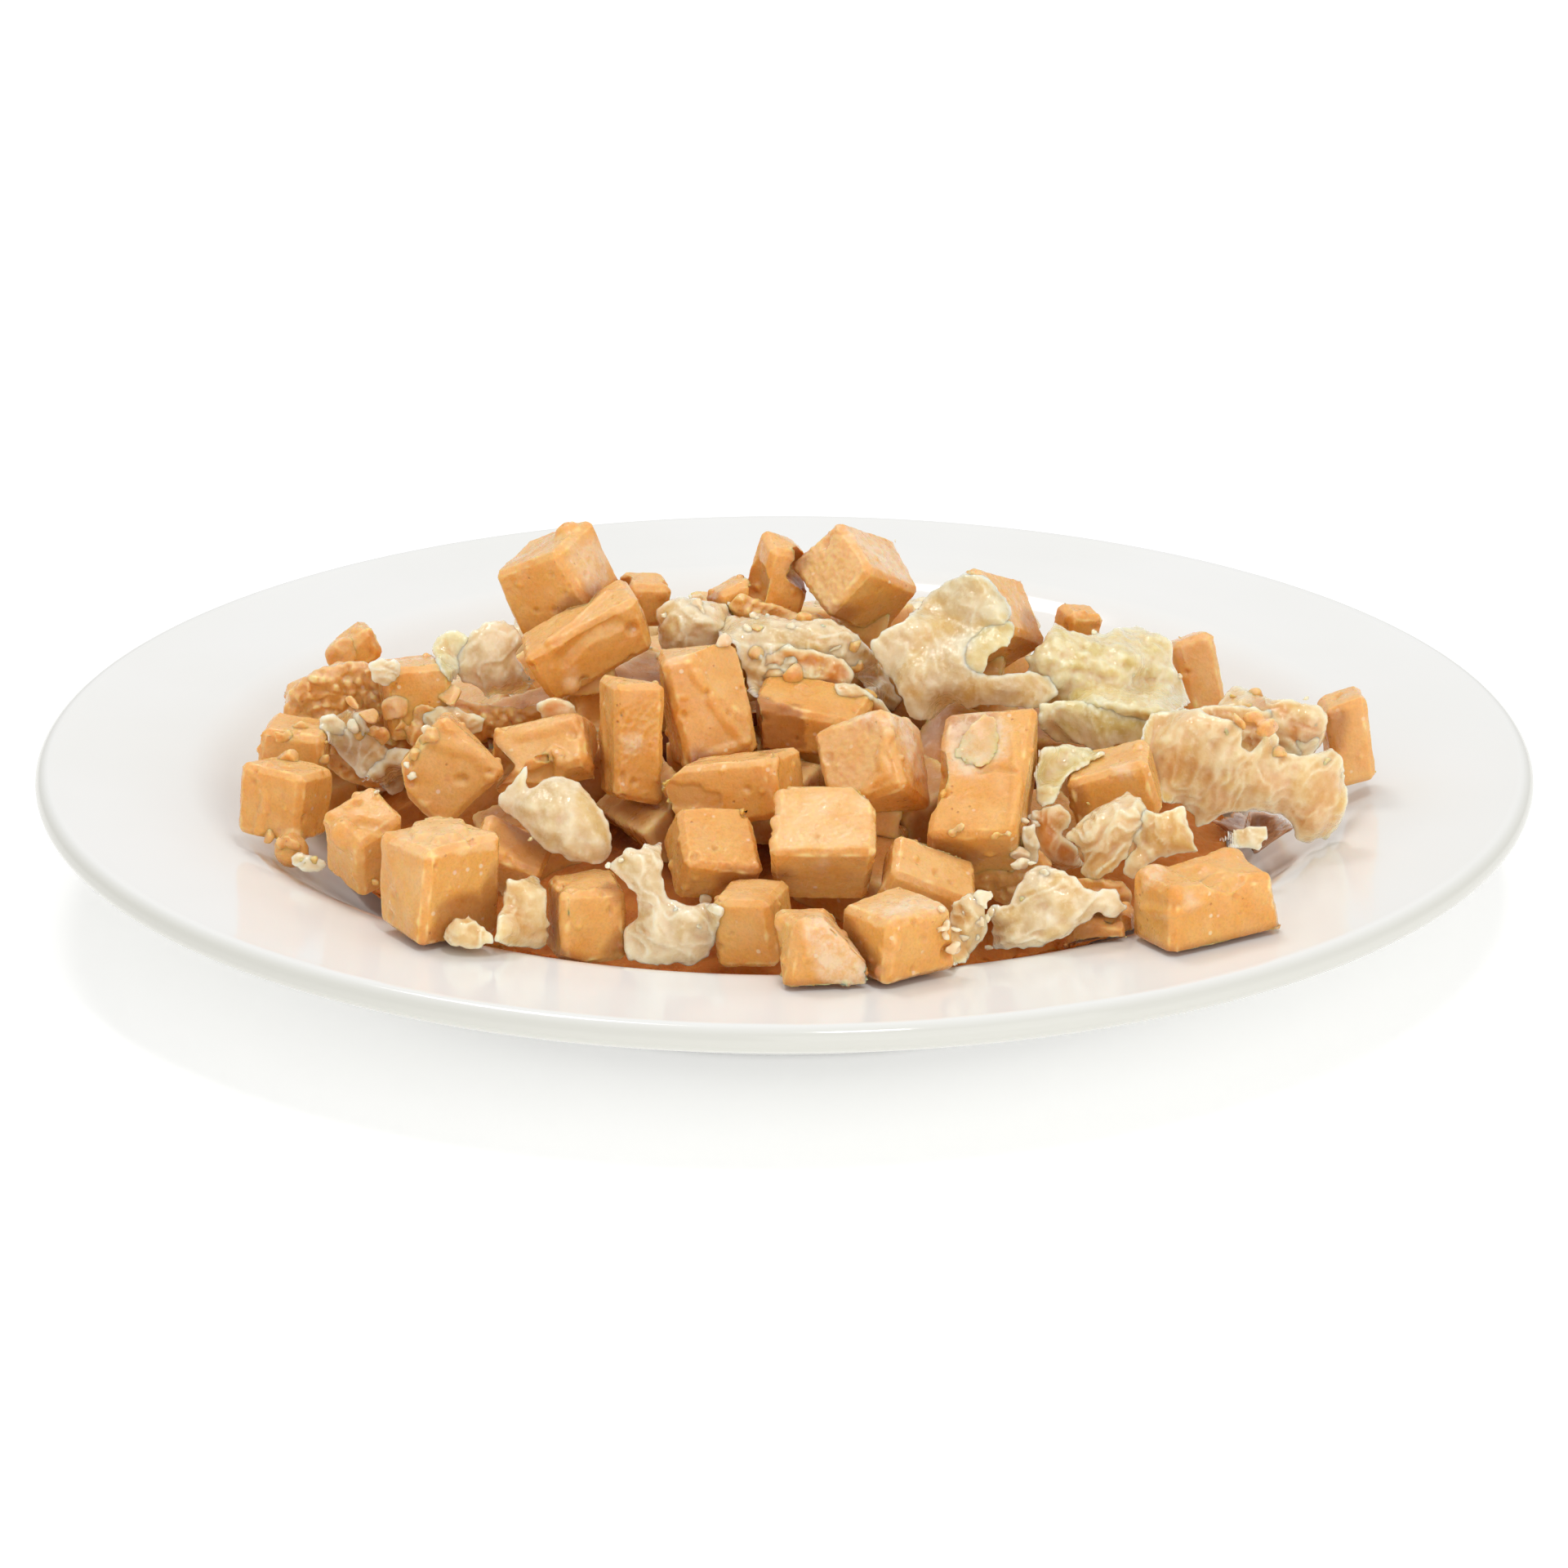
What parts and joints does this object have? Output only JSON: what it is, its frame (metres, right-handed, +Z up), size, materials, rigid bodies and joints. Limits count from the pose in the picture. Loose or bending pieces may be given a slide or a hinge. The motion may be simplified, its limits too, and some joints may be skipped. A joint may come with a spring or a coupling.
{
  "type": "dish of salmon ragout",
  "caption": "Round white rimmed plate with a shallow well, heaped with rough dice of pressed salmon and torn flakes of pale fish.",
  "frame": {"origin": "centre of the plate's foot ring, on the surface that the plate stands on", "axes": "+Z up, -Y towards the side of the heap that the picture shows, +X to its right"},
  "size_m": [0.18, 0.18, 0.0492],
  "materials": {
    "porcelain": "white glazed porcelain, glossy",
    "salmon": "pressed salmon, moist, fine-grained with small pits",
    "salmon_inside": "pressed salmon deep in the heap, moist",
    "pale_fish": "pale cooked fish, wet, a little translucent"
  },
  "bodies": {
    "root": {"flake_back_left": "pale_fish", "flake_back_right": "pale_fish", "flake_front": "pale_fish", "flake_front_right": "pale_fish", "flake_front_shreds": "pale_fish", "flake_left_bottom": "pale_fish", "flake_left_end_bottom": "pale_fish", "flake_left_front": "pale_fish", "flake_left_inner": "pale_fish", "flake_left_top": "pale_fish", "flake_on_leaning_long": "pale_fish", "flake_right_back": "pale_fish", "flake_right_curl": "pale_fish", "flake_right_folded": "pale_fish", "flake_right_inner": "pale_fish", "flake_right_sheet": "pale_fish", "flake_right_top": "pale_fish", "flake_right_top_low": "pale_fish", "flake_top_left": "pale_fish", "flake_top_middle": "pale_fish", "flake_top_sheet": "pale_fish", "plate": "porcelain", "salmon_back_shaded": "salmon", "salmon_front_centre": "salmon", "salmon_front_left": "salmon", "salmon_front_right": "salmon", "salmon_front_right_of_centre": "salmon", "salmon_front_shaded": "salmon", "salmon_front_slab": "salmon", "salmon_front_tipped": "salmon", "salmon_front_wedge": "salmon", "salmon_heap": "salmon_inside", "salmon_leaning_long": "salmon", "salmon_left_back_block": "salmon", "salmon_left_back_broken": "salmon", "salmon_left_back_knob": "salmon", "salmon_left_big": "salmon", "salmon_left_end": "salmon", "salmon_left_end_broken": "salmon", "salmon_left_leaning": "salmon", "salmon_left_low": "salmon", "salmon_left_slab": "salmon", "salmon_left_tall": "salmon", "salmon_middle_long": "salmon", "salmon_middle_post": "salmon", "salmon_middle_right": "salmon", "salmon_middle_tall": "salmon", "salmon_right_end": "salmon", "salmon_right_knob": "salmon", "salmon_right_low": "salmon", "salmon_right_middle": "salmon", "salmon_right_upright": "salmon", "salmon_top_chip": "salmon", "salmon_top_far_right": "salmon", "salmon_top_left": "salmon", "salmon_top_left_behind": "salmon", "salmon_top_left_long": "salmon", "salmon_top_right": "salmon", "salmon_top_shard": "salmon"}
  },
  "joints": []
}
